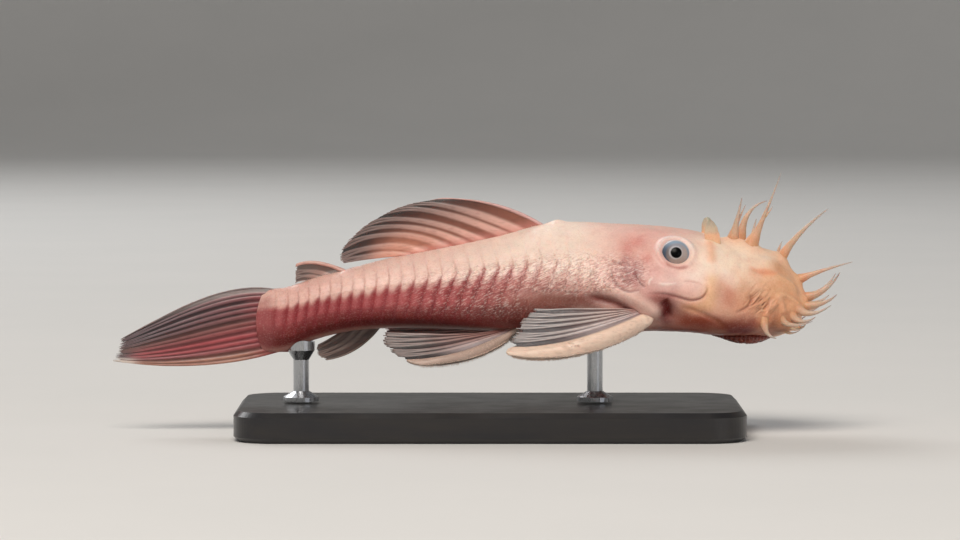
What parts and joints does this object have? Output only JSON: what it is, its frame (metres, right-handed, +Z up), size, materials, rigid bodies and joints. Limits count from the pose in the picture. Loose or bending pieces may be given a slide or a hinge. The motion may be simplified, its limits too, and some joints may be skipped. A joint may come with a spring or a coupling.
{
  "type": "albino bristlenose pleco",
  "caption": "Still, life-size albino male bristlenose pleco with branched snout tentacles and swept fins, held level over a flat display base on two short rods.",
  "frame": {"origin": "centre of the stand base's underside", "axes": "+X towards the snout, +Z up, the fish's right side faces -Y"},
  "size_m": [0.1235, 0.044, 0.0435],
  "materials": {
    "skin": "moist, semi-gloss, pink-white over rose flanks and a peach head",
    "lips": "moist, soft",
    "eye": "wet gloss, grey-blue iris with a black pupil",
    "fin": "thin, translucent, pale rays",
    "stand_wood": "satin black lacquer",
    "stand_metal": "brushed"
  },
  "bodies": {
    "root": {"head": "skin", "trunk": "skin", "tail_stalk": "skin", "mouth_disc": "lips", "eye_right": "eye", "eye_left": "eye", "caudal_fin": "fin", "dorsal_fin": "fin", "adipose_fin": "fin", "anal_fin": "fin", "pectoral_fin_right": "fin", "pectoral_fin_left": "fin", "pelvic_fin_right": "fin", "pelvic_fin_left": "fin", "stand_base": "stand_wood", "stand_rod_front": "stand_metal", "stand_rod_rear": "stand_metal"}
  },
  "joints": []
}
